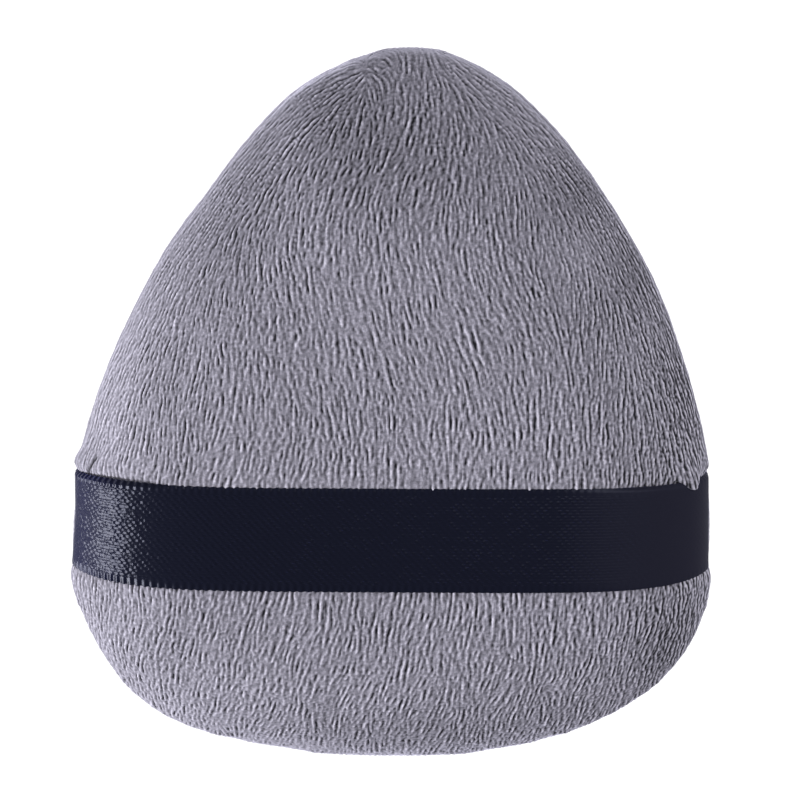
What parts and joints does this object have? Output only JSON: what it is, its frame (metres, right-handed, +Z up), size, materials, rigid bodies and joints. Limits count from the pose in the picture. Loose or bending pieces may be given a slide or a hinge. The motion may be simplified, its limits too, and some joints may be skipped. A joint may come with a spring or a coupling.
{
  "type": "powder puff",
  "caption": "Drop-shaped plush powder puff with a velour cover over a foam core and a satin ribbon strap that slips over the fingers.",
  "frame": {"origin": "on the table, under the middle of the puff's box, with the application face down", "axes": "+Z up through the strap side, +Y from the base to the tip of the drop, +X along the strap"},
  "size_m": [0.075, 0.0844, 0.022],
  "materials": {
    "velour": "matte",
    "foam": "matte",
    "satin_ribbon": "satin",
    "sewing_thread": "matte"
  },
  "bodies": {
    "pad": {"front_velour": "velour", "back_velour": "velour", "foam_core": "foam", "needle_thread": "sewing_thread", "bobbin_thread": "sewing_thread", "left_strap_tack": "sewing_thread", "right_strap_tack": "sewing_thread", "closing_stitch": "sewing_thread"},
    "strap": {"strap_ribbon": "satin_ribbon"}
  },
  "joints": [
    {"name": "strap_lift", "type": "slide", "parent": "pad", "child": "strap", "axis": [0, 0, 1], "range_m": [0, 0.009], "deforming": ["strap_ribbon"]}
  ]
}
